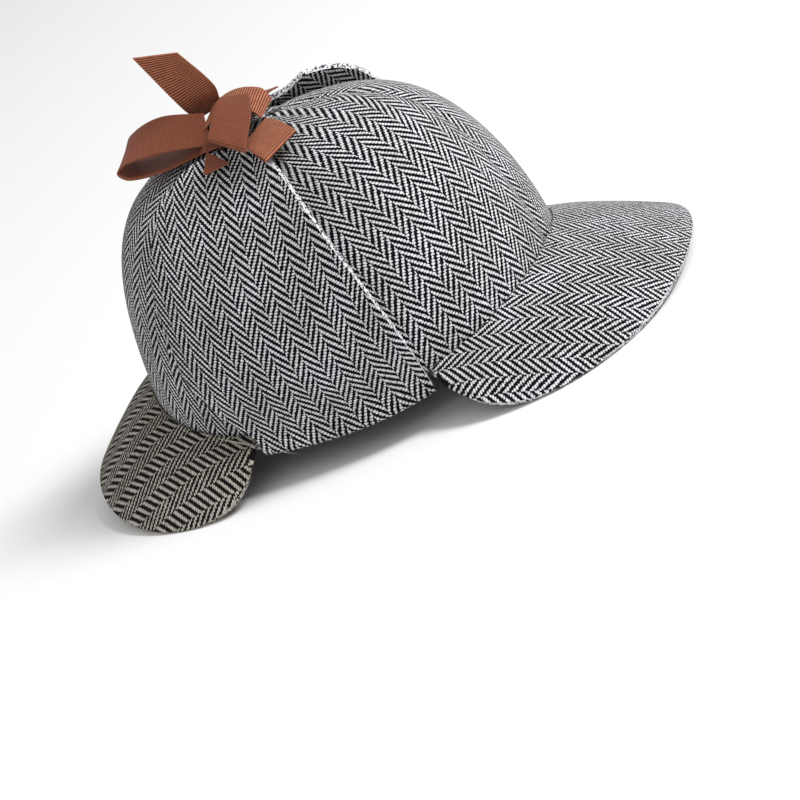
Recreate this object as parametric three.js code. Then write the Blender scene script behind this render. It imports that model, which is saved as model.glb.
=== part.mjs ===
// A deerstalker hat of tweed cloth, standing on its two peaks with its ear flaps
// folded up and tied over the crown with a grosgrain ribbon bow.
//
// Millimetres, +Z up. The front of the hat faces -Y and the wearer's left is +X.
// Every piece is a sheet of cloth with a thickness: a surface is written as a function
// of two numbers from 0 to 1, and clothSolid() gives it two faces and a closed edge.
// The surfaces are written in the hat's own frame, where z = 0 is the crown's lower
// edge above the ears, and the last part of the file sets the hat down on its peaks.

import * as THREE from "three";

// ---- Driving sizes ----
const HEAD_HALF_WIDTH = 83; // outside of the crown at its lower edge, ear to ear
const HEAD_HALF_LENGTH = 102; // outside of the crown at its lower edge, brow to nape
const CROWN_HEIGHT = 115.5; // lower edge above the ears to the point where the panels meet
const APEX_Y = -8; // the panels meet a little ahead of the middle
const CROWN_WALL = 2.2;
const SEAM_GAP = 0.35; // left between two pieces that are sewn together

const BROW_RISE = 17; // how much higher the lower edge is at the brow than above the ears
const NAPE_RISE = 17;
const BROW_SHARPNESS = 1.9; // powers of the cosine: how quickly the edge rises
const NAPE_SHARPNESS = 2.9;

const PEAK_THICKNESS = 3.4; // two layers of cloth over a stiff card
const PEAK_SEAM_OFFSET = 2.3; // middle of a peak's seam edge, out from the crown
const FLAP_THICKNESS = 3.6; // cloth, interlining and cloth
const FLAP_STANDOFF = 0.9; // air between a flap and the crown
const RIGHT_FLAP_LIFT = { height: 3.5, width: 14 }; // how far a flap's front edge stands
const LEFT_FLAP_LIFT = { height: 10, width: 20 }; // off the crown, and how soon that fades
const FLAP_ROOT_GAP = 0.6; // between a flap's root and the crown's edge that it hangs from
const FLAP_FOLD_RADIUS = 2.7; // middle of the cloth, where a flap turns up under the edge
const FLAP_STUB = 3.8; // how far a flap hangs below the crown's edge before it turns up

const RIBBON_THICKNESS = 1;

const REST_PITCH = 3.1; // degrees, nose down, from the hat's own frame to its rest
const PRESS_DEPTH = 1.5; // how far the peaks' lower edges are flattened by what they rest on

// ---- Small helpers ----
const UP = new THREE.Vector3(0, 0, 1);
const radians = THREE.MathUtils.degToRad;
const lerp = THREE.MathUtils.lerp;
const clamp = THREE.MathUtils.clamp;

// Reads one column of a table at a place between its rows, along a smooth curve through
// them. `at` is the key column.
function column(table, name, at) {
  const last = table.length - 1;
  const key = clamp(at, table[0].at, table[last].at);
  const row = Math.max(1, table.findIndex((r) => r.at >= key));
  const rows = [row - 2, row - 1, row, row + 1].map((i) => table[clamp(i, 0, last)]);
  const slope = (a, b) => (b[name] - a[name]) / Math.max(b.at - a.at, 1e-6);
  const step = rows[2].at - rows[1].at;
  const start = slope(rows[0], rows[2]) * step;
  const end = slope(rows[1], rows[3]) * step;
  const x = (key - rows[1].at) / step;
  const x2 = x * x;
  const x3 = x2 * x;
  return (
    (2 * x3 - 3 * x2 + 1) * rows[1][name] +
    (x3 - 2 * x2 + x) * start +
    (3 * x2 - 2 * x3) * rows[2][name] +
    (x3 - x2) * end
  );
}

// The unit normal of a surface at (u, v), from its neighbours.
function normalOf(surface, u, v) {
  const h = 1e-3;
  const u0 = clamp(u - h, 0, 1);
  const u1 = clamp(u + h, 0, 1);
  const v0 = clamp(v - h, 0, 1);
  const v1 = clamp(v + h, 0, 1);
  const alongU = surface(u1, v).sub(surface(u0, v));
  const alongV = surface(u, v1).sub(surface(u, v0));
  return alongU.cross(alongV).normalize();
}

// A closed solid: the surface moved out by `over` on its normal's side and by `under` on
// the other, joined by a rim of faces all round. `normal` may stand in for the surface's
// own normal.
function clothSolid(surface, { across, along, over, under, normal }) {
  const normalAt = normal ?? ((u, v) => normalOf(surface, u, v));
  const columns = across + 1;
  const rows = along + 1;
  const layer = columns * rows;
  const points = [];
  [over, -under].forEach((offset) => {
    for (let j = 0; j < rows; j += 1) {
      for (let i = 0; i < columns; i += 1) {
        const u = i / across;
        const v = j / along;
        points.push(surface(u, v).addScaledVector(normalAt(u, v), offset));
      }
    }
  });

  const faces = [];
  const quad = (a, b, c, d) => faces.push(a, b, c, a, c, d);
  const at = (i, j, side) => side * layer + j * columns + i;
  for (let j = 0; j < along; j += 1) {
    for (let i = 0; i < across; i += 1) {
      quad(at(i, j, 0), at(i + 1, j, 0), at(i + 1, j + 1, 0), at(i, j + 1, 0));
      quad(at(i, j, 1), at(i, j + 1, 1), at(i + 1, j + 1, 1), at(i + 1, j, 1));
    }
  }
  for (let i = 0; i < across; i += 1) {
    quad(at(i, 0, 1), at(i + 1, 0, 1), at(i + 1, 0, 0), at(i, 0, 0));
    quad(at(i, along, 0), at(i + 1, along, 0), at(i + 1, along, 1), at(i, along, 1));
  }
  for (let j = 0; j < along; j += 1) {
    quad(at(0, j, 0), at(0, j + 1, 0), at(0, j + 1, 1), at(0, j, 1));
    quad(at(across, j, 1), at(across, j + 1, 1), at(across, j + 1, 0), at(across, j, 0));
  }

  const geometry = new THREE.BufferGeometry();
  const numbers = points.flatMap((p) => p.toArray());
  geometry.setAttribute("position", new THREE.Float32BufferAttribute(numbers, 3));
  geometry.setIndex(faces);
  return geometry;
}

// ---- The crown ----
// An angle of 0 is the brow, 90 the wearer's right ear, 180 the nape, -90 the left ear.
// Each profile climbs from the lower edge to the apex as one smooth curve with two
// handles: the first stands on the edge (rise, lean), the second lies out from the apex.
const CROWN_PROFILES = {
  brow: { rise: 60, lean: -4, reach: 66, squareness: 0.86 },
  ear: { rise: 60, lean: -4, reach: 42 },
  nape: { rise: 88, lean: -7, reach: 74, squareness: 0.95 },
};

// 1 at the brow or nape, 0 above the ears.
function endShare(angle) {
  return Math.cos(angle) ** 2;
}

function profile(name, angle) {
  const end = Math.cos(angle) > 0 ? CROWN_PROFILES.brow : CROWN_PROFILES.nape;
  return lerp(CROWN_PROFILES.ear[name], end[name], endShare(angle));
}

function outwardAt(angle) {
  return new THREE.Vector3(-Math.sin(angle), -Math.cos(angle), 0);
}

function edgePoint(angle) {
  const s = Math.sin(angle);
  const c = Math.cos(angle);
  const end = c > 0 ? CROWN_PROFILES.brow : CROWN_PROFILES.nape;
  const rise = c > 0 ? BROW_RISE * c ** BROW_SHARPNESS : NAPE_RISE * (-c) ** NAPE_SHARPNESS;
  return new THREE.Vector3(
    -HEAD_HALF_WIDTH * Math.sign(s) * Math.abs(s) ** end.squareness,
    -HEAD_HALF_LENGTH * Math.sign(c) * Math.abs(c) ** end.squareness,
    rise,
  );
}

function crownPoint(angle, climb) {
  const edge = edgePoint(angle);
  const outward = outwardAt(angle);
  const apex = new THREE.Vector3(0, APEX_Y, CROWN_HEIGHT);
  const low = edge
    .clone()
    .addScaledVector(UP, profile("rise", angle))
    .addScaledVector(outward, profile("lean", angle));
  const high = apex.clone().addScaledVector(outward, profile("reach", angle));
  return new THREE.CubicBezierCurve3(edge, low, high, apex).getPoint(climb);
}

function crownNormal(angle, climb) {
  const h = 1e-3;
  const t = clamp(climb, h, 0.97);
  const round = crownPoint(angle + h, t).sub(crownPoint(angle - h, t));
  const upward = crownPoint(angle, t + h).sub(crownPoint(angle, t - h));
  return upward.cross(round).normalize();
}

const PANEL_TOP = 0.975; // the panels stop just short of the apex, under the knot
const CROWN_PANELS = [
  { name: "crown_panel_front_right", from: 0, to: 93 },
  { name: "crown_panel_rear_right", from: 93, to: 180 },
  { name: "crown_panel_rear_left", from: 180, to: 267 },
  { name: "crown_panel_front_left", from: 267, to: 360 },
];

function crownPanel({ from, to }) {
  const surface = (u, v) => {
    const climb = v * PANEL_TOP;
    const middle = crownPoint(radians((from + to) / 2), climb);
    const radius = Math.hypot(middle.x, middle.y - APEX_Y);
    const trim = SEAM_GAP / 2 / Math.max(radius, 1);
    return crownPoint(lerp(radians(from) + trim, radians(to) - trim, u), climb);
  };
  // The surface's normal points into the hat, so the wall is all on that side of it.
  return clothSolid(surface, { across: 12, along: 14, over: CROWN_WALL, under: 0 });
}

// ---- The peaks ----
// A peak is sewn to the crown's edge between its two corners. `facing` is the way it
// points and `corner` the angle from there to each corner. `depth` is its depth at the
// middle and `end` at the corners. `drop` is how far its outer edge hangs at the middle,
// and `droop` how much steeper that is towards the corners. `fan` is how much it spreads
// from straight ahead (0) to square with the seam (1), and `roundness` the power of its
// outline.
const FRONT_PEAK = {
  facing: 0,
  corner: 61,
  depth: 56,
  end: 9,
  drop: 25,
  droop: 9,
  fan: 0.7,
  roundness: 2.4,
};
const REAR_PEAK = {
  facing: 180,
  corner: 72.5,
  depth: 42,
  end: 6,
  drop: 32,
  droop: 9,
  fan: 0.92,
  roundness: 2.5,
};

function peakPoint(peak, u, v) {
  const side = 2 * u - 1;
  const angle = radians(peak.facing + side * peak.corner);
  const direction = outwardAt(radians(peak.facing + side * peak.corner * peak.fan));
  const share = Math.max(1 - Math.abs(side) ** peak.roundness, 0) ** (1 / peak.roundness);
  const width = lerp(peak.end, peak.depth, share) * v;
  const slope = (peak.drop + peak.droop * side * side) / peak.depth;
  const hang = slope * width * (0.8 + 0.2 * v);
  return edgePoint(angle)
    .addScaledVector(outwardAt(angle), PEAK_SEAM_OFFSET)
    .addScaledVector(direction, width)
    .addScaledVector(UP, -hang);
}

// A peak's thickness is square to its seam and to its slope, all the way to its corners.
function peakNormal(peak, u) {
  const side = 2 * u - 1;
  const angle = radians(peak.facing + side * peak.corner);
  const seam = edgePoint(angle + 0.01).sub(edgePoint(angle - 0.01));
  const slope = outwardAt(radians(peak.facing + side * peak.corner * peak.fan));
  slope.addScaledVector(UP, -(peak.drop + peak.droop * side * side) / peak.depth);
  return seam.cross(slope).normalize();
}

// Steps that are closer together near a peak's corners, where its outline turns most,
// and near its outer edge, which the surface below presses flat.
function cornerSteps(u) {
  return (1 - Math.cos(Math.PI * u)) / 2;
}

function edgeSteps(v) {
  return 1 - (1 - v) ** 1.7;
}

function peakSolid(peak) {
  const surface = (u, v) => peakPoint(peak, cornerSteps(u), edgeSteps(v));
  const normal = (u) => peakNormal(peak, cornerSteps(u));
  const half = PEAK_THICKNESS / 2;
  return clothSolid(surface, { across: 24, along: 7, over: half, under: half, normal });
}

// ---- The ear flaps ----
// Folded up against the crown. `at` is how far up the crown a row lies, `front` and
// `rear` the angles of the flap's two edges there. The left flap's front corner lies
// further forward, and its front edge stands well off the crown.
const RIGHT_FLAP = [
  { at: 0, front: 62.5, rear: 105.5 },
  { at: 0.13, front: 64, rear: 122 },
  { at: 0.25, front: 66, rear: 129 },
  { at: 0.41, front: 69, rear: 136 },
  { at: 0.55, front: 72, rear: 140 },
  { at: 0.66, front: 76, rear: 142 },
  { at: 0.74, front: 84, rear: 140 },
  { at: 0.79, front: 97, rear: 130 },
];
const LEFT_FLAP = [
  { at: 0, front: 62.5, rear: 105.5 },
  { at: 0.13, front: 64, rear: 122 },
  { at: 0.25, front: 65, rear: 129 },
  { at: 0.41, front: 64, rear: 136 },
  { at: 0.55, front: 60, rear: 140 },
  { at: 0.66, front: 56, rear: 142 },
  { at: 0.74, front: 58, rear: 140 },
  { at: 0.79, front: 70, rear: 130 },
];
const FLAP_TURN = 0.22; // share of the flap's length that turns under the crown's edge

// The turn under the edge, as a path in the plane square to the crown: straight down
// below the crown's own wall, round half a circle, and up outside the wall.
function turnPoint(angle, share) {
  const stub = FLAP_STUB;
  const arc = Math.PI * FLAP_FOLD_RADIUS;
  const gone = share * (stub + arc);
  const centre = FLAP_FOLD_RADIUS - CROWN_WALL / 2;
  const place = { out: centre - FLAP_FOLD_RADIUS, up: -FLAP_ROOT_GAP - gone };
  if (gone > stub) {
    const turned = (gone - stub) / FLAP_FOLD_RADIUS;
    place.out = centre - FLAP_FOLD_RADIUS * Math.cos(turned);
    place.up = -FLAP_ROOT_GAP - stub - FLAP_FOLD_RADIUS * Math.sin(turned);
  }
  return edgePoint(angle)
    .addScaledVector(outwardAt(angle), place.out)
    .addScaledVector(UP, place.up);
}

function flapPoint(outline, edgeLift, u, v) {
  if (v <= FLAP_TURN) {
    const angle = radians(lerp(outline[0].front, outline[0].rear, u));
    return turnPoint(angle, v / FLAP_TURN);
  }
  const climb = ((v - FLAP_TURN) / (1 - FLAP_TURN)) * outline[outline.length - 1].at;
  const front = radians(column(outline, "front", climb));
  const rear = radians(column(outline, "rear", climb));
  const angle = lerp(front, rear, u);
  const surface = crownPoint(angle, climb);
  const fromFront = surface.distanceTo(crownPoint(front, climb));
  const fold = 2 * FLAP_FOLD_RADIUS - CROWN_WALL / 2;
  const flat = FLAP_STANDOFF + FLAP_THICKNESS / 2;
  const standoff = lerp(flat, fold, Math.exp(-climb / 0.06));
  const raised = THREE.MathUtils.smoothstep(climb, 0, edgeLift.height / 20);
  const lift = edgeLift.height * Math.exp(-fromFront / edgeLift.width) * raised;
  return surface.addScaledVector(crownNormal(angle, climb), standoff + lift);
}

function flapSolid(outline, edgeLift) {
  const surface = (u, v) => flapPoint(outline, edgeLift, u, v);
  const half = FLAP_THICKNESS / 2;
  return clothSolid(surface, { across: 14, along: 22, over: half, under: half });
}

// ---- The ribbon ----
// One grosgrain ribbon from each flap, tied in a bow a little to the right of the middle.
// Each strip is a table of places along it: the middle of the ribbon (x, y, z) and the
// line across it from one selvage to the other (wx, wy, wz), which runs aslant at a
// slanting fold or cut end.
const RIBBON_STRIPS = {
  ribbon_tie_right: {
    steps: 6,
    rows: [
      { at: 0, x: -29, y: 8.5, z: 117, wx: 0, wy: 20, wz: 0 },
      { at: 0.5, x: -20, y: 8.5, z: 118.4, wx: 0, wy: 20, wz: 0 },
      { at: 1, x: -5, y: 8, z: 118.8, wx: 0, wy: 20, wz: 0 },
    ],
  },
  ribbon_tie_left: {
    steps: 8,
    rows: [
      { at: 0, x: 26, y: 5, z: 118, wx: 0, wy: 20, wz: 0 },
      { at: 0.5, x: 14, y: 5, z: 120.4, wx: 0, wy: 20, wz: 0 },
      { at: 1, x: -3.5, y: 7, z: 121, wx: 0, wy: 20, wz: 0 },
    ],
  },
  ribbon_knot: {
    steps: 14,
    rows: [
      { at: 0, x: -6, y: 20, z: 121.5, wx: 13, wy: 0, wz: 0 },
      { at: 0.2, x: -6, y: 16.5, z: 126, wx: 13, wy: 0, wz: 0 },
      { at: 0.5, x: -6, y: 4, z: 130, wx: 13, wy: 0, wz: 0 },
      { at: 0.8, x: -6, y: -8, z: 126.5, wx: 13, wy: 0, wz: 0 },
      { at: 1, x: -6, y: -11, z: 121, wx: 13, wy: 0, wz: 0 },
    ],
  },
  ribbon_knot_fold: {
    steps: 18,
    rows: [
      { at: 0, x: -15.5, y: -1, z: 129.5, wx: -3, wy: -16, wz: -4 },
      { at: 0.3, x: -24, y: -1, z: 127, wx: -4, wy: -18, wz: -5 },
      { at: 0.6, x: -38.5, y: 0, z: 121, wx: -8, wy: -18.5, wz: -7 },
      { at: 0.68, x: -40, y: 0, z: 119.4, wx: -9, wy: -18.5, wz: -8 },
      { at: 0.76, x: -38, y: 1, z: 118.8, wx: -8, wy: -16.5, wz: -7 },
      { at: 1, x: -25, y: 2, z: 122.5, wx: -2, wy: -13, wz: -3 },
    ],
  },
  ribbon_loop_left: {
    steps: 26,
    rows: [
      { at: 0, x: -18, y: 20, z: 124, wx: -11, wy: -2, wz: -13 },
      { at: 0.22, x: -15, y: 39, z: 127, wx: -16.4, wy: -2, wz: -11.3 },
      { at: 0.42, x: -15, y: 57, z: 125.5, wx: -19, wy: -2, wz: -6 },
      { at: 0.5, x: -16, y: 62, z: 121, wx: -20, wy: 0, wz: -2 },
      { at: 0.58, x: -16, y: 58, z: 116.5, wx: -20, wy: 0, wz: -2 },
      { at: 0.78, x: -15, y: 41, z: 115.5, wx: -19.5, wy: 0, wz: -4 },
      { at: 1, x: -16, y: 22, z: 119.5, wx: -15, wy: 0, wz: -7 },
    ],
  },
  ribbon_loop_right: {
    steps: 18,
    rows: [
      { at: 0, x: -28, y: -9.5, z: 118, wx: -13, wy: 9, wz: -4 },
      { at: 0.3, x: -33.5, y: -15, z: 116.4, wx: -15, wy: 12, wz: -4 },
      { at: 0.46, x: -38.5, y: -21, z: 113.2, wx: -15, wy: 12.5, wz: -4 },
      { at: 0.52, x: -39.5, y: -22.5, z: 111.8, wx: -15, wy: 12.5, wz: -4 },
      { at: 0.58, x: -38.5, y: -21.5, z: 110.8, wx: -15, wy: 12.5, wz: -4 },
      { at: 1, x: -28.5, y: -10, z: 116, wx: -13, wy: 9, wz: -4 },
    ],
  },
  ribbon_tail_long: {
    steps: 12,
    rows: [
      { at: 0, x: 4.5, y: 21.5, z: 124, wx: 0, wy: -13.7, wz: 2.8 },
      { at: 0.3, x: -2, y: 20, z: 134, wx: 0, wy: -19.3, wz: 5.2 },
      { at: 1, x: -6, y: 28, z: 160, wx: 1, wy: -20.5, wz: -5 },
    ],
  },
  ribbon_tail_short: {
    steps: 6,
    rows: [
      { at: 0, x: -35, y: 9, z: 114.5, wx: -7, wy: -11, wz: -6 },
      { at: 1, x: -40, y: 16, z: 110.8, wx: -1.5, wy: -1.5, wz: -0.5 },
    ],
  },
};

function ribbonStrip({ steps, rows }) {
  const read = (names, v) => new THREE.Vector3(...names.map((name) => column(rows, name, v)));
  const surface = (u, v) =>
    read(["x", "y", "z"], v).addScaledVector(read(["wx", "wy", "wz"], v), u - 0.5);
  const half = RIBBON_THICKNESS / 2;
  return clothSolid(surface, { across: 2, along: steps, over: half, under: half });
}

// ---- Setting the hat down ----
// The hat stands nose down by REST_PITCH from its own frame, on the drooping edges of both
// peaks, whose lowest cloth is pressed flat by the surface. The origin is then put on
// that surface, under the middle of the whole hat.
function mirrored(geometry) {
  const copy = geometry.clone().scale(-1, 1, 1);
  const faces = copy.index.array;
  for (let i = 0; i < faces.length; i += 3) {
    [faces[i + 1], faces[i + 2]] = [faces[i + 2], faces[i + 1]];
  }
  return copy;
}

function lowestOf(geometry) {
  geometry.computeBoundingBox();
  return geometry.boundingBox.min.z;
}

function pressFlat(geometry, level) {
  const position = geometry.attributes.position;
  for (let i = 0; i < position.count; i += 1) {
    position.setZ(i, Math.max(position.getZ(i), level));
  }
  geometry.computeBoundingBox();
}

const CLOTHS = {
  tweed: new THREE.MeshStandardMaterial({ color: 0x77777c, roughness: 0.95, metalness: 0 }),
  tweedShade: new THREE.MeshStandardMaterial({ color: 0x6b6a68, roughness: 0.95, metalness: 0 }),
  grosgrain: new THREE.MeshStandardMaterial({ color: 0x8a4a2f, roughness: 0.7, metalness: 0 }),
};

const frontPeak = peakSolid(FRONT_PEAK);
const rearPeak = peakSolid(REAR_PEAK);
const rightFlap = flapSolid(RIGHT_FLAP, RIGHT_FLAP_LIFT);
const leftFlap = mirrored(flapSolid(LEFT_FLAP, LEFT_FLAP_LIFT));
const pieces = [
  ...CROWN_PANELS.map((panel) => ({
    name: panel.name,
    geometry: crownPanel(panel),
    cloth: "tweed",
  })),
  { name: "front_peak", geometry: frontPeak, cloth: "tweed" },
  { name: "rear_peak", geometry: rearPeak, cloth: "tweedShade" },
  { name: "ear_flap_right", geometry: rightFlap, cloth: "tweed" },
  { name: "ear_flap_left", geometry: leftFlap, cloth: "tweed" },
  ...Object.entries(RIBBON_STRIPS).map(([name, strip]) => ({
    name,
    geometry: ribbonStrip(strip),
    cloth: "grosgrain",
  })),
];

pieces.forEach(({ geometry }) => geometry.rotateX(radians(REST_PITCH)));
const restLevel = Math.max(lowestOf(frontPeak), lowestOf(rearPeak)) + PRESS_DEPTH;
[frontPeak, rearPeak].forEach((peak) => pressFlat(peak, restLevel));

const group = new THREE.Group();
pieces.forEach(({ name, geometry, cloth }) => {
  const mesh = new THREE.Mesh(geometry, CLOTHS[cloth]);
  mesh.name = name;
  group.add(mesh);
});

const whole = new THREE.Box3().setFromObject(group);
const middle = whole.getCenter(new THREE.Vector3());
group.position.set(-middle.x, -middle.y, -whole.min.z);

export default group;
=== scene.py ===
# %% [markdown]
# # A deerstalker hat of herringbone tweed
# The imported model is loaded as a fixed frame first. Its solids say where each piece of
# cloth lies, and every visible piece below is made again with finer shape and real cloth.

import math

import bpy
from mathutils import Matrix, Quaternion, Vector


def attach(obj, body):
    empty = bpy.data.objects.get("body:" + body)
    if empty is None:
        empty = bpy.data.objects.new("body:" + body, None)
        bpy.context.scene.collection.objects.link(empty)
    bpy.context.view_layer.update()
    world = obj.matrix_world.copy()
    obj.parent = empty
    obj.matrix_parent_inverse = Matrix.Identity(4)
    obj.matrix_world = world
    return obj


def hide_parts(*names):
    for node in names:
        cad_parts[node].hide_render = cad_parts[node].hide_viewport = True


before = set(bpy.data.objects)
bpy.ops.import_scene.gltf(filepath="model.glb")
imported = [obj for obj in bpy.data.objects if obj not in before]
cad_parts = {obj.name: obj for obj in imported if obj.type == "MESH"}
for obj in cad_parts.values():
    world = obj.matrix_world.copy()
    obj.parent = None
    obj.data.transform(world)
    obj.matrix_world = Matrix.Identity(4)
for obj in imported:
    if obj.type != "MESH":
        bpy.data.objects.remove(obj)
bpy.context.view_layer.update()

# %% [markdown]
# ## The camera
# A long lens from a little above, at the wearer's right. The camera is also rolled, as
# when a picture is turned on the table, so the hat seems to lean back on its rear peak.

# %% Camera
CAMERA_PLACE = Vector((-1.0421, -0.4937, 0.4185))
CAMERA_AIM = Vector((-0.0351, -0.0097, -0.0021))
CAMERA_ROLL = math.radians(-29.59)
LENS_MM = 118.0

camera_data = bpy.data.cameras.new("camera")
camera_data.lens = LENS_MM
camera = bpy.data.objects.new("camera", camera_data)
bpy.context.scene.collection.objects.link(camera)
camera.location = CAMERA_PLACE
aim = (CAMERA_AIM - CAMERA_PLACE).to_track_quat("-Z", "Y")
camera.rotation_mode = "QUATERNION"
camera.rotation_quaternion = aim @ Quaternion((0, 0, 1), CAMERA_ROLL)
bpy.context.scene.camera = camera
print("camera is", round((CAMERA_AIM - CAMERA_PLACE).length, 3), "m from the hat")

# %% [markdown]
# ## The hat's own sizes
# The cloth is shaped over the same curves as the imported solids, so their driving sizes
# are repeated here, in millimetres, in the hat's own frame. That frame is pitched a
# little and lifted to stand on the peaks, which `settled` does for one point.

# %% Sizes and the crown's shape
HEAD_HALF_WIDTH = 83.0
HEAD_HALF_LENGTH = 102.0
APEX = Vector((0.0, -8.0, 115.5))
CROWN_WALL = 2.2
BROW_RISE, NAPE_RISE = 17.0, 17.0
BROW_SHARPNESS, NAPE_SHARPNESS = 1.9, 2.9
BROW = {"rise": 60, "lean": -4, "reach": 66, "squareness": 0.86}
EAR = {"rise": 60, "lean": -4, "reach": 42}
BROW_FULLNESS = 4.0  # mm that the cloth stands up over the brow
NAPE = {"rise": 88, "lean": -7, "reach": 74, "squareness": 0.95}
REST_PITCH = math.radians(3.1)
REST_SHIFT = Vector((0.0, 6.278, 21.24))
MM = 0.001
UP = Vector((0, 0, 1))


def settled(point):
    """A point of the hat's own frame, in millimetres, as metres in the frame it rests in."""
    c, s = math.cos(REST_PITCH), math.sin(REST_PITCH)
    turned = Vector((point.x, point.y * c - point.z * s, point.y * s + point.z * c))
    return (turned + REST_SHIFT) * MM


def between(a, b, share):
    return a + (b - a) * share


def outward(angle):
    return Vector((-math.sin(angle), -math.cos(angle), 0))


def edge_point(angle):
    s, c = math.sin(angle), math.cos(angle)
    end = BROW if c > 0 else NAPE
    rise = BROW_RISE * c**BROW_SHARPNESS if c > 0 else NAPE_RISE * (-c) ** NAPE_SHARPNESS
    return Vector(
        (
            -HEAD_HALF_WIDTH * math.copysign(abs(s) ** end["squareness"], s),
            -HEAD_HALF_LENGTH * math.copysign(abs(c) ** end["squareness"], c),
            rise,
        )
    )


def crown_point(angle, climb):
    """The outside of the crown: angle 0 is the brow, climb runs from its edge to its top."""
    end = BROW if math.cos(angle) > 0 else NAPE
    share = math.cos(angle) ** 2
    rise, lean, reach = (between(EAR[k], end[k], share) for k in ("rise", "lean", "reach"))
    edge = edge_point(angle)
    low = edge + UP * rise + outward(angle) * lean
    high = APEX + outward(angle) * reach
    t, r = climb, 1 - climb
    fullness = BROW_FULLNESS * max(math.cos(angle), 0) * math.sin(math.pi * t**1.3) ** 2
    curve = edge * r**3 + low * (3 * r * r * t) + high * (3 * r * t * t) + APEX * t**3
    return curve + UP * fullness


def crown_normal(angle, climb):
    t = min(max(climb, 1e-3), 0.97)
    across = crown_point(angle + 1e-3, t) - crown_point(angle - 1e-3, t)
    upward = crown_point(angle, t + 1e-3) - crown_point(angle, t - 1e-3)
    return upward.cross(across).normalized()


# %% [markdown]
# ## Cutting and shaping cloth
# A tailor cuts a flat piece and sews it over a form. Here a flat grid is added and its
# vertices are laid on the form, and its UV map keeps the flat piece's millimetres, so a
# weave drawn on it has the scale of real yarn. Solidify then gives the cloth its
# thickness and Bevel rounds its edges, as folded wool does.


# %% Making a piece of cloth
def strength_of(t, start, stop):
    x = min(max((t - start) / (stop - start), 0.0), 1.0)
    return x * x * (3 - 2 * x)


def lay_cloth(
    name, surface, grid, thickness, offset, bevel, materials, centre=None, turn=0, spread=0
):
    """A grid laid on surface(u, v), with a UV map in millimetres and a real thickness.
    centre(v) is the share of each row where the weave's own upright passes, and turn the
    degrees that the weave is turned on the piece. A spread makes the UV map a plan seen
    from above, drawn out that much forwards. The second material is the edge's."""
    columns, rows = grid
    bpy.ops.object.select_all(action="DESELECT")
    bpy.ops.mesh.primitive_grid_add(x_subdivisions=columns, y_subdivisions=rows, size=1)
    piece = bpy.context.object
    piece.name = name
    mesh = piece.data
    for material in materials:
        mesh.materials.append(material)
    wide = columns + 1
    places = [[surface(i / columns, j / rows) for i in range(wide)] for j in range(rows + 1)]
    middle = columns // 2
    along = [0.0]
    for j in range(rows):
        along.append(along[-1] + (places[j + 1][middle] - places[j][middle]).length)
    across, width, area = [], 0.0, 0.0
    for j, row in enumerate(places):
        steps = [0.0]
        for i in range(columns):
            steps.append(steps[-1] + (row[i + 1] - row[i]).length)
        share = 0.5 if centre is None else centre(j / rows)
        at = share * columns
        low = int(min(max(math.floor(at), 0), columns - 1))
        zero = steps[low] + (at - low) * (steps[low + 1] - steps[low])
        across.append([s - zero for s in steps])
        width = max(width, steps[-1])
        if j:
            area += 0.5 * (steps[-1] + last) * (along[j] - along[j - 1])
        last = steps[-1]
    cosine, sine = math.cos(math.radians(turn)), math.sin(math.radians(turn))
    layer = mesh.uv_layers[0].data
    for loop in mesh.loops:
        co = mesh.vertices[loop.vertex_index].co
        i, j = round((co.x + 0.5) * columns), round((co.y + 0.5) * rows)
        x, y = across[j][i], along[j]
        if spread:
            x, y = places[j][i].x, places[j][i].y * spread
        layer[loop.index].uv = (x * cosine - y * sine, x * sine + y * cosine)
    for vertex in mesh.vertices:
        i, j = round((vertex.co.x + 0.5) * columns), round((vertex.co.y + 0.5) * rows)
        vertex.co = settled(places[j][i])
    solid = piece.modifiers.new("thickness", "SOLIDIFY")
    solid.thickness = thickness * MM
    solid.offset = offset
    solid.use_even_offset = True
    solid.material_offset_rim = len(materials) - 1
    if bevel:
        rounding = piece.modifiers.new("rounding", "BEVEL")
        rounding.width = bevel * MM
        rounding.segments = 3
        rounding.limit_method = "ANGLE"
        rounding.angle_limit = math.radians(50)
    for modifier in list(piece.modifiers):
        bpy.ops.object.modifier_apply(modifier=modifier.name)
    bpy.ops.object.shade_smooth()
    flat = (width * MM, along[-1] * MM)
    flat_area = min(area * MM * MM, flat[0] * flat[1])
    print(name, "flat", [round(x, 3) for x in flat], len(mesh.polygons), "faces")
    return piece, flat, flat_area


# %% [markdown]
# ## Nodes and colours
# Colours are written as sRGB hex, as a colour picker shows them, and turned to linear
# once. One small function adds a node, sets its inputs and links them.


# %% Helpers for materials
def linear(hex_colour):
    channels = [int(hex_colour[i : i + 2], 16) / 255 for i in (1, 3, 5)]
    turned = [c / 12.92 if c <= 0.04045 else ((c + 0.055) / 1.055) ** 2.4 for c in channels]
    return (*turned, 1.0)


def add_node(material, kind, settings=None, **inputs):
    """Adds a node. An input that is a node's output is linked, and any other is set. An
    input is named as Blender names it, or by its place: i0, i1 and so on."""
    node = material.node_tree.nodes.new(kind)
    for key, value in (settings or {}).items():
        setattr(node, key, value)
    for key, value in inputs.items():
        by_place = key[0] == "i" and key[1:].isdigit()
        socket = node.inputs[int(key[1:]) if by_place else key.replace("_", " ")]
        if isinstance(value, bpy.types.Node):
            value = value.outputs[0]
        if isinstance(value, bpy.types.NodeSocket):
            material.node_tree.links.new(value, socket)
        else:
            socket.default_value = value
    return node


MATH, NOISE, RANGE = "ShaderNodeMath", "ShaderNodeTexNoise", "ShaderNodeMapRange"
MIX, SHADER = "ShaderNodeMix", "ShaderNodeBsdfPrincipled"
SOFT_STEP = {"interpolation_type": "SMOOTHSTEP"}
COLOUR = {"data_type": "RGBA"}
print("black is", linear("#000000"), "and white is", linear("#ffffff"))


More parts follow.
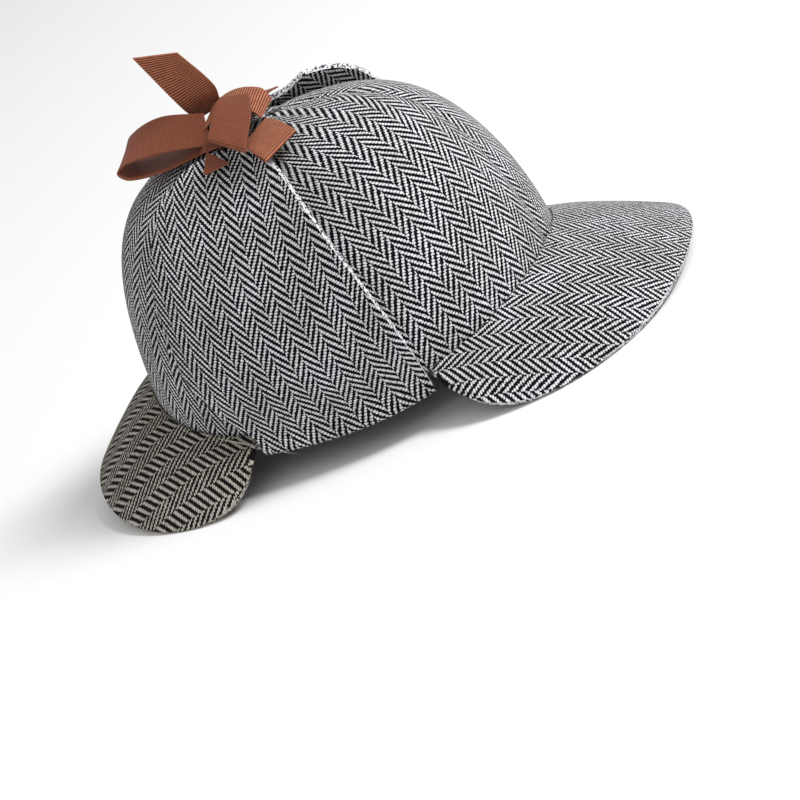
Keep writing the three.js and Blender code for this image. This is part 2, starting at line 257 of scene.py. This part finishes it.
# %% [markdown]
# ## Herringbone tweed
# A two-and-two twill of wool: each off-white weft thread floats over two black warp
# threads and dives under the next two, and every row moves one thread along. Every eight
# threads the direction turns round with a break of two threads, which draws the bones.
# Each float is drawn as a small oval with a shaded rim, with a little noise because wool
# yarn is never even.

# %% The tweed
WARP_PITCH = 0.80  # mm from one warp thread to the next
WEFT_PITCH = 1.12  # mm from one weft thread to the next
THREADS_TO_TURN = 8.0
BREAK_THREADS = 2.0
THREADS_TO_REPEAT = 4.0
WARP_WANDER, WEFT_WANDER = 1.5, 1.3  # mm that the yarn strays to either side
OVAL_SOLID, OVAL_END = 0.72, 1.14  # in warp threads from the float's middle
WOOL_ROUGHNESS = 0.92


def empty_material(name):
    material = bpy.data.materials.new(name)
    material.use_nodes = True
    material.node_tree.nodes.clear()
    return material


def float_distance(material, uv):
    """How far each place lies from the middle of its white float, in warp threads."""
    split = add_node(material, "ShaderNodeSeparateXYZ", Vector=uv)
    noise = add_node(material, NOISE, Vector=uv, Scale=0.9, Detail=3.0)
    stray = add_node(material, MATH, {"operation": "SUBTRACT"}, i0=noise, i1=0.5)
    add = {"operation": "MULTIPLY_ADD"}
    x = add_node(material, MATH, add, i0=stray, i1=WARP_WANDER, i2=split.outputs[0])
    y = add_node(material, MATH, add, i0=stray, i1=WEFT_WANDER, i2=split.outputs[1])
    warp = add_node(material, MATH, {"operation": "DIVIDE"}, i0=x, i1=WARP_PITCH)
    weft = add_node(material, MATH, {"operation": "DIVIDE"}, i0=y, i1=WEFT_PITCH)
    row = add_node(material, MATH, {"operation": "FLOOR"}, i0=weft)
    within = add_node(material, MATH, {"operation": "SUBTRACT"}, i0=weft, i1=row)
    turned = add_node(material, MATH, {"operation": "PINGPONG"}, i0=warp, i1=THREADS_TO_TURN)
    share = add_node(material, MATH, {"operation": "DIVIDE"}, i0=warp, i1=THREADS_TO_TURN)
    stripe = add_node(material, MATH, {"operation": "FLOOR"}, i0=share)
    parity = add_node(material, MATH, {"operation": "WRAP"}, i0=stripe, i1=2.0, i2=0.0)
    broken = add_node(material, MATH, add, i0=parity, i1=BREAK_THREADS, i2=turned)
    place = add_node(material, MATH, {"operation": "ADD"}, i0=broken, i1=row)
    wrap = {"operation": "WRAP"}
    repeat = add_node(material, MATH, wrap, i0=place, i1=THREADS_TO_REPEAT, i2=0.0)
    side = add_node(material, MATH, {"operation": "SUBTRACT"}, i0=repeat, i1=2.0)
    rise = add_node(material, MATH, add, i0=within, i1=1.8, i2=-0.9)
    oval = add_node(material, "ShaderNodeCombineXYZ", X=side, Y=rise)
    return add_node(material, "ShaderNodeVectorMath", {"operation": "LENGTH"}, i0=oval).outputs[1]


def herringbone(name, light, dark, shade):
    material = empty_material(name)
    uv = add_node(material, "ShaderNodeUVMap")
    distance = float_distance(material, uv)
    thread = add_node(
        material,
        RANGE,
        SOFT_STEP,
        Value=distance,
        From_Min=OVAL_SOLID,
        From_Max=OVAL_END,
        To_Min=1.0,
        To_Max=0.0,
    )
    yarn = add_node(material, NOISE, Vector=uv, Scale=0.55, Detail=4.0)
    tone = add_node(material, RANGE, SOFT_STEP, Value=yarn, From_Min=0.3, From_Max=0.7, To_Min=0.7)
    amount = add_node(material, MATH, {"operation": "MULTIPLY"}, i0=thread, i1=tone)
    patch = add_node(material, NOISE, Vector=uv, Scale=0.035, Detail=2.0)
    worn = add_node(material, RANGE, SOFT_STEP, Value=patch, From_Min=0.35, From_Max=0.65)
    white = add_node(material, MIX, COLOUR, Factor=worn, i6=linear(light), i7=linear(shade))
    cloth = add_node(material, MIX, COLOUR, Factor=amount, i6=linear(dark), i7=white.outputs[2])
    bump = add_node(material, "ShaderNodeBump", Strength=0.5, Distance=0.00035, Height=thread)
    shader = add_node(
        material, SHADER, Base_Color=cloth.outputs[2], Roughness=WOOL_ROUGHNESS, Normal=bump
    )
    shader.inputs["Sheen Weight"].default_value = 0.02
    shader.inputs["Sheen Roughness"].default_value = 0.5
    shader.inputs["Specular IOR Level"].default_value = 0.08
    add_node(material, "ShaderNodeOutputMaterial", Surface=shader)
    return material


tweed = herringbone("herringbone_tweed", "#f4f4f8", "#0d0e14", "#e2e1df")
# A darker copy of the tweed for the rear peak only: painted shade, as the whole hat is of one cloth.
tweed_painted_shade = herringbone("herringbone_tweed_painted_shade", "#d6d0c6", "#161412", "#c2bbae")
print("herringbone stripe", THREADS_TO_TURN * WARP_PITCH, "mm")

# %% [markdown]
# ## The cloth's turned edges
# At an edge the cloth turns on itself and the weave is seen end on, so the bones are
# lost and the wool shows as pale fibres with dark specks.


# %% The edge's material
def wool_edge(name, light, dark):
    material = empty_material(name)
    place = add_node(material, "ShaderNodeTexCoord")
    fibre = add_node(material, NOISE, Vector=place.outputs[3], Scale=900.0, Detail=3.0)
    amount = add_node(material, RANGE, SOFT_STEP, Value=fibre, From_Min=0.4, From_Max=0.56)
    wool = add_node(material, MIX, COLOUR, Factor=amount, i6=linear(dark), i7=linear(light))
    bump = add_node(material, "ShaderNodeBump", Strength=0.6, Distance=0.0004, Height=fibre)
    shader = add_node(
        material, SHADER, Base_Color=wool.outputs[2], Roughness=WOOL_ROUGHNESS, Normal=bump
    )
    shader.inputs["Specular IOR Level"].default_value = 0.08
    add_node(material, "ShaderNodeOutputMaterial", Surface=shader)
    return material


tweed_edge = wool_edge("tweed_turned_edge", "#eeeef2", "#15161c")
# A darker copy of the turned edge for the rear peak only: painted shade.
tweed_edge_painted_shade = wool_edge("tweed_turned_edge_painted_shade", "#c9c2b6", "#191714")
print(tweed_edge.name, "and", tweed_edge_painted_shade.name, "are ready")

# %% [markdown]
# ## Grosgrain ribbon
# Thick weft cords lie across the ribbon under fine warp silk, so its face is ribbed from
# selvage to selvage and its back is nearly smooth. The ribs are drawn along the strip's
# length and raised with Bump. The face is also given lighter colours, as painted light for
# the strips that catch the lamp, and the back darker ones, as painted shade for the rest.

# %% The ribbon's material
RIB_PITCH = 1.15  # mm from one rib to the next


def grosgrain(name, groove, rib, relief):
    material = empty_material(name)
    uv = add_node(material, "ShaderNodeUVMap")
    split = add_node(material, "ShaderNodeSeparateXYZ", Vector=uv)
    multiply = {"operation": "MULTIPLY"}
    turn = add_node(material, MATH, multiply, i0=split.outputs[1], i1=2 * math.pi / RIB_PITCH)
    wave = add_node(material, MATH, {"operation": "SINE"}, i0=turn)
    cord = add_node(material, RANGE, SOFT_STEP, Value=wave, From_Min=-1.0, From_Max=0.6)
    patch = add_node(material, NOISE, Vector=uv, Scale=0.25, Detail=3.0)
    tone = add_node(material, RANGE, SOFT_STEP, Value=patch, From_Min=0.3, From_Max=0.7, To_Min=0.75)
    amount = add_node(material, MATH, multiply, i0=cord, i1=tone)
    colour = add_node(material, MIX, COLOUR, Factor=amount, i6=linear(groove), i7=linear(rib))
    bump = add_node(material, "ShaderNodeBump", Strength=relief, Distance=0.0003, Height=cord)
    shader = add_node(
        material, SHADER, Base_Color=colour.outputs[2], Roughness=0.55, Normal=bump
    )
    shader.inputs["Sheen Weight"].default_value = 0.03
    shader.inputs["Specular IOR Level"].default_value = 0.3
    add_node(material, "ShaderNodeOutputMaterial", Surface=shader)
    return material


# Lighter face colours are painted light; darker back colours are painted shade.
ribbon_face_painted_light = grosgrain("grosgrain_face_painted_light", "#4a2415", "#c07350", 0.7)
ribbon_back_painted_shade = grosgrain("grosgrain_back_painted_shade", "#653320", "#8a4b31", 0.25)
print("ribs every", RIB_PITCH, "mm")


def finish_piece(piece, node):
    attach(piece, "root")
    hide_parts(node)


# %% [markdown]
# ## The crown
# Four gores meet at the top. Each is pulled in a little along its seams, where the seam
# allowances are stitched down, and the gap between two gores is the seam's dark line.

# %% Crown panels
PANEL_TOP = 0.975
SEAM_GAP = 0.35
SEAM_PULL = 0.9  # mm that the cloth dips at a seam
SEAM_REACH = 2.6  # mm over which the dip dies away
PANELS = {
    "crown_panel_front_right": (0, 93),
    "crown_panel_rear_right": (93, 180),
    "crown_panel_rear_left": (180, 267),
    "crown_panel_front_left": (267, 360),
}


WEAVE_UPRIGHT = {  # the share of each gore where the weave runs straight up the crown
    "crown_panel_front_right": 0.25,
    "crown_panel_rear_right": 0.5,
    "crown_panel_rear_left": 0.5,
    "crown_panel_front_left": 0.75,
}


def panel_surface(start, stop):
    first, last = math.radians(start), math.radians(stop)

    def surface(u, v):
        climb = v * PANEL_TOP
        centre = crown_point((first + last) / 2, climb)
        radius = max(math.hypot(centre.x, centre.y - APEX.y), 1.0)
        trim = SEAM_GAP / 2 / radius
        angle = between(first + trim, last - trim, u)
        span = (last - first) * radius
        near = min(u, 1 - u) * span
        dip = SEAM_PULL * math.exp(-((near / SEAM_REACH) ** 2)) * min(1.0, radius / 12)
        return crown_point(angle, climb) - crown_normal(angle, climb) * dip

    return surface


for name, (start, stop) in PANELS.items():
    upright = WEAVE_UPRIGHT[name]
    panel, flat, area = lay_cloth(
        name + "_cloth",
        panel_surface(start, stop),
        (72, 72),
        CROWN_WALL - 0.7,
        1,
        0.5,
        (tweed, tweed_edge),
        centre=lambda v, share=upright: share,
    )
    finish_piece(panel, name)

# %% [markdown]
# ## The peaks
# Two layers of tweed over stiff card, turned and pressed, so the edge is round and the
# face is smooth. Their lowest edges rest on the table, and are pressed flat there.

# %% Peaks
PEAK_THICKNESS = 3.4
PEAK_SEAM_GAP = 0.4  # mm from the crown's edge to the peak's seam
PEAK_SEAM_OFFSET = 2.3  # mm by which the rest of the peak stands clear of it
PEAK_SLOPE = 1.15  # a peak's own length over its length in plan
TABLE_SKIN = 0.0002  # metres: the pressed edges stop just above the table
PEAKS = {
    "front_peak": {
        "facing": 0,
        "corner": 61,
        "depth": 56,
        "end": 9,
        "drop": 25,
        "droop": 9,
        "fan": 0.7,
        "roundness": 2.4,
        "cloth": (tweed, tweed_edge),
    },
    "rear_peak": {
        "facing": 180,
        "corner": 72.5,
        "depth": 42,
        "end": 6,
        "drop": 32,
        "droop": 9,
        "fan": 0.92,
        "roundness": 2.5,
        # The rear peak takes the darker copies of the tweed and its edge: painted shade.
        "cloth": (tweed_painted_shade, tweed_edge_painted_shade),
    },
}


def peak_surface(peak):
    def surface(u, v):
        side = -math.cos(math.pi * u)
        angle = math.radians(peak["facing"] + side * peak["corner"])
        direction = outward(math.radians(peak["facing"] + side * peak["corner"] * peak["fan"]))
        share = max(1 - abs(side) ** peak["roundness"], 0) ** (1 / peak["roundness"])
        width = between(peak["end"], peak["depth"], share) * v
        slope = (peak["drop"] + peak["droop"] * side * side) / peak["depth"]
        clear = between(PEAK_SEAM_GAP, PEAK_SEAM_OFFSET, strength_of(v, 0, 0.4))
        seam = edge_point(angle) + outward(angle) * clear
        return seam + direction * width - UP * slope * width * (0.8 + 0.2 * v)

    return surface


for name, numbers in PEAKS.items():
    peak, flat, area = lay_cloth(
        name + "_cloth",
        peak_surface(numbers),
        (120, 36),
        PEAK_THICKNESS - 0.4,
        0,
        1.3,
        numbers["cloth"],
        spread=PEAK_SLOPE,
    )
    for vertex in peak.data.vertices:
        vertex.co.z = max(vertex.co.z, TABLE_SKIN)
    finish_piece(peak, name)

# %% [markdown]
# ## The ear flaps
# Each flap hangs from the crown's edge, turns up round a soft fold and lies against the
# crown. Its front edge rolls away from the crown, the left one well clear of it.

# %% Ear flaps
FLAP_THICKNESS = 3.6
FLAP_STANDOFF = 0.9
FLAP_ROOT_GAP = 0.6
FLAP_FOLD_RADIUS = 2.7
FLAP_STUB = 3.8
FLAP_WEAVE_TURN = 11  # degrees: the flap's weave leans forward as it goes down
FLAP_TURN = 0.12  # share of the rows that lies in the turn
RIGHT_FLAP = {
    "lift": (3.5, 14),
    "mirror": 1,
    "rows": (
        (0, 62.5, 105.5),
        (0.13, 64, 122),
        (0.25, 66, 129),
        (0.41, 69, 136),
        (0.55, 72, 140),
        (0.66, 76, 142),
        (0.74, 84, 140),
        (0.79, 97, 130),
    ),
}
LEFT_FLAP = {
    "lift": (8, 18),
    "mirror": -1,
    "rows": (
        (0, 62.5, 105.5),
        (0.13, 64, 122),
        (0.25, 65, 129),
        (0.41, 64, 136),
        (0.55, 60, 140),
        (0.66, 56, 142),
        (0.74, 58, 140),
        (0.79, 70, 130),
    ),
}


def smooth_row(rows, at):
    """All columns of a table at a place between its rows, along smooth curves."""
    last = len(rows) - 1
    key = min(max(at, rows[0][0]), rows[last][0])
    row = max(1, next(i for i, r in enumerate(rows) if r[0] >= key - 1e-9))
    four = [rows[min(max(i, 0), last)] for i in (row - 2, row - 1, row, row + 1)]
    step = four[2][0] - four[1][0]
    x = (key - four[1][0]) / step
    out = []
    for k in range(1, len(rows[0])):
        a, b, c, d = (r[k] for r in four)
        start = (c - a) / max(four[2][0] - four[0][0], 1e-6) * step
        stop = (d - b) / max(four[3][0] - four[1][0], 1e-6) * step
        out.append(
            (2 * x**3 - 3 * x * x + 1) * b
            + (x**3 - 2 * x * x + x) * start
            + (3 * x * x - 2 * x**3) * c
            + (x**3 - x * x) * stop
        )
    return out


def flap_surface(flap):
    rows, (height, spread) = flap["rows"], flap["lift"]
    top = rows[-1][0]

    def surface(u, v):
        if v <= FLAP_TURN:
            angle = math.radians(between(rows[0][1], rows[0][2], u))
            gone = v / FLAP_TURN * (FLAP_STUB + math.pi * FLAP_FOLD_RADIUS)
            centre = FLAP_FOLD_RADIUS - CROWN_WALL / 2
            turned = max(gone - FLAP_STUB, 0) / FLAP_FOLD_RADIUS
            out = centre - FLAP_FOLD_RADIUS * math.cos(turned)
            down = min(gone, FLAP_STUB) + FLAP_FOLD_RADIUS * math.sin(turned)
            point = edge_point(angle) + outward(angle) * out - UP * (FLAP_ROOT_GAP + down)
        else:
            climb = (v - FLAP_TURN) / (1 - FLAP_TURN) * top
            front, rear = (math.radians(a) for a in smooth_row(rows, climb))
            angle = between(front, rear, u)
            point = crown_point(angle, climb)
            from_front = (point - crown_point(front, climb)).length
            fold = 2 * FLAP_FOLD_RADIUS - CROWN_WALL / 2
            flat = FLAP_STANDOFF + FLAP_THICKNESS / 2
            standoff = between(flat, fold, math.exp(-climb / 0.06))
            lift = height * math.exp(-from_front / spread) * strength_of(climb, 0, height / 20)
            point = point + crown_normal(angle, climb) * (standoff + lift)
        return Vector((point.x * flap["mirror"], point.y, point.z))

    return surface


def flap_centre(flap):
    """Where the upright line at 95 degrees crosses each row, so that the weave is upright."""
    rows = flap["rows"]

    def centre(v):
        climb = max(v - FLAP_TURN, 0) / (1 - FLAP_TURN) * rows[-1][0]
        front, rear = smooth_row(rows, climb)
        return (95 - front) / (rear - front)

    return centre


for side, flap in (("right", RIGHT_FLAP), ("left", LEFT_FLAP)):
    name = "ear_flap_" + side
    cloth, flat, area = lay_cloth(
        name + "_cloth",
        flap_surface(flap),
        (64, 96),
        FLAP_THICKNESS - 0.3,
        0,
        1.5,
        (tweed, tweed_edge),
        centre=flap_centre(flap),
        turn=FLAP_WEAVE_TURN,
    )
    if flap["mirror"] < 0:
        bpy.ops.object.mode_set(mode="EDIT")
        bpy.ops.mesh.select_all(action="SELECT")
        bpy.ops.mesh.normals_make_consistent(inside=False)
        bpy.ops.object.mode_set(mode="OBJECT")
    finish_piece(cloth, name)

# %% [markdown]
# ## The ribbon bow
# A 20 mm ribbon comes from each flap's tip. The two are tied in a knot with a loop and a
# cut end on each side. Each strip is a table of the places that its middle passes
# through and the line across it, which slants at a slanting fold or cut end.

# %% Ribbon strips
RIBBON_THICKNESS = 0.8
SHORTEST_CUT = 0.0101  # metres: the small tail's cut, with the bit that the knot hides
# These strips take the lighter face colours, painted light; the others take the darker back, painted
# shade.
PAINTED_LIGHT_FACE_OUT = ("ribbon_tail_long", "ribbon_loop_right", "ribbon_knot")
RIBBON_STRIPS = {
    "ribbon_tie_right": (
        (0, -29, 8.5, 117, 0, 20, 0),
        (0.5, -20, 8.5, 118.4, 0, 20, 0),
        (1, -5, 8, 118.8, 0, 20, 0),
    ),
    "ribbon_tie_left": (
        (0, 26, 5, 118, 0, 20, 0),
        (0.5, 14, 5, 120.4, 0, 20, 0),
        (1, -3.5, 7, 121, 0, 20, 0),
    ),
    "ribbon_knot": (
        (0, -9.5, 20, 120.5, 20, 0, 1),
        (0.2, -9.5, 16.5, 125.5, 20, 0, 3),
        (0.5, -9.5, 4, 129.3, 20, 0, 3),
        (0.8, -9.5, -8, 126, 20, 0, 3),
        (1, -9.5, -11, 120.5, 20, 0, 1),
    ),
    "ribbon_knot_fold": (
        (0, -10, 0, 131.2, -3, -15, -2),
        (0.1, -15.5, -0.5, 130, -3, -16, -4),
        (0.3, -24, -1, 127, -4, -18, -5),
        (0.6, -38.5, 0, 121, -8, -18.5, -7),
        (0.68, -40, 0, 119.4, -9, -18.5, -8),
        (0.76, -38, 1, 118.8, -8, -16.5, -7),
        (1, -25, 2, 122.5, -2, -13, -3),
    ),
    "ribbon_loop_left": (
        (0, -19, 15, 123.5, -11, -2, -12),
        (0.22, -15, 39, 127, -16.4, -2, -11.3),
        (0.42, -15, 57, 125.5, -19, -2, -6),
        (0.5, -16, 62, 121, -20, 0, -2),
        (0.58, -16, 58, 116.5, -20, 0, -2),
        (0.78, -15, 41, 115.5, -19.5, 0, -4),
        (1, -17, 17, 119.5, -14, 0, -8),
    ),
    "ribbon_loop_right": (
        (0, -28, -9.5, 118, -13, 9, -4),
        (0.3, -33.5, -15, 116.4, -15, 12, -4),
        (0.46, -38.5, -21, 113.2, -15, 12.5, -4),
        (0.52, -39.5, -22.5, 111.8, -15, 12.5, -4),
        (0.58, -38.5, -21.5, 110.8, -15, 12.5, -4),
        (1, -28.5, -10, 116, -13, 9, -4),
    ),
    "ribbon_tail_long": (
        (0, 4.5, 21.5, 124, 0, -13.7, 2.8),
        (0.3, -2, 20, 134, 0, -19.3, 5.2),
        (1, -6, 28, 160, 1, -20.5, -5),
    ),
    "ribbon_tail_short": (
        (0, -35, 9, 114.5, -7, -11, -6),
        (1, -40, 16, 110.8, -1.5, -1.5, -0.5),
    ),
}


def strip_surface(rows):
    def surface(u, v):
        x, y, z, wx, wy, wz = smooth_row(rows, v)
        return Vector((x, y, z)) + Vector((wx, wy, wz)) * (u - 0.5)

    return surface


for name, rows in RIBBON_STRIPS.items():
    cloth = ribbon_face_painted_light if name in PAINTED_LIGHT_FACE_OUT else ribbon_back_painted_shade
    strip, flat, area = lay_cloth(
        name + "_strip", strip_surface(rows), (10, 60), RIBBON_THICKNESS, 0, 0.2, (cloth,)
    )
    finish_piece(strip, name)
    cut = (flat[0], max(flat[1], SHORTEST_CUT))

# %% [markdown]
# ## Floor and light
# A plain pale floor and large soft lamps, as in a light tent: one from above and the
# front, one fill from behind the camera, and a white world that keeps the shade open.

# %% Stage
bpy.context.scene.view_settings.view_transform = "Standard"

bpy.ops.object.select_all(action="DESELECT")
bpy.ops.mesh.primitive_plane_add(size=40)
floor = bpy.context.object
floor.name = "floor"
paper = bpy.data.materials.new("matt_white_paper")
paper.use_nodes = True
paper.node_tree.nodes["Principled BSDF"].inputs["Base Color"].default_value = linear("#fafafa")
paper.node_tree.nodes["Principled BSDF"].inputs["Roughness"].default_value = 0.9
floor.data.materials.append(paper)

world = bpy.data.worlds.new("white_tent")
world.use_nodes = True
world.node_tree.nodes["Background"].inputs[0].default_value = linear("#ffffff")
world.node_tree.nodes["Background"].inputs[1].default_value = 0.55
bpy.context.scene.world = world


def soft_lamp(name, place, size, power):
    data = bpy.data.lights.new(name, "AREA")
    data.size = size
    data.energy = power
    lamp = bpy.data.objects.new(name, data)
    bpy.context.scene.collection.objects.link(lamp)
    lamp.location = place
    direction = Vector((0, 0, 0.08)) - Vector(place)
    lamp.rotation_euler = direction.to_track_quat("-Z", "Y").to_euler()


soft_lamp("key_lamp", (0.3, -2.2, 2.3), 1.0, 84)
soft_lamp("fill_lamp", (-1.5, -0.3, 1.0), 1.0, 1)
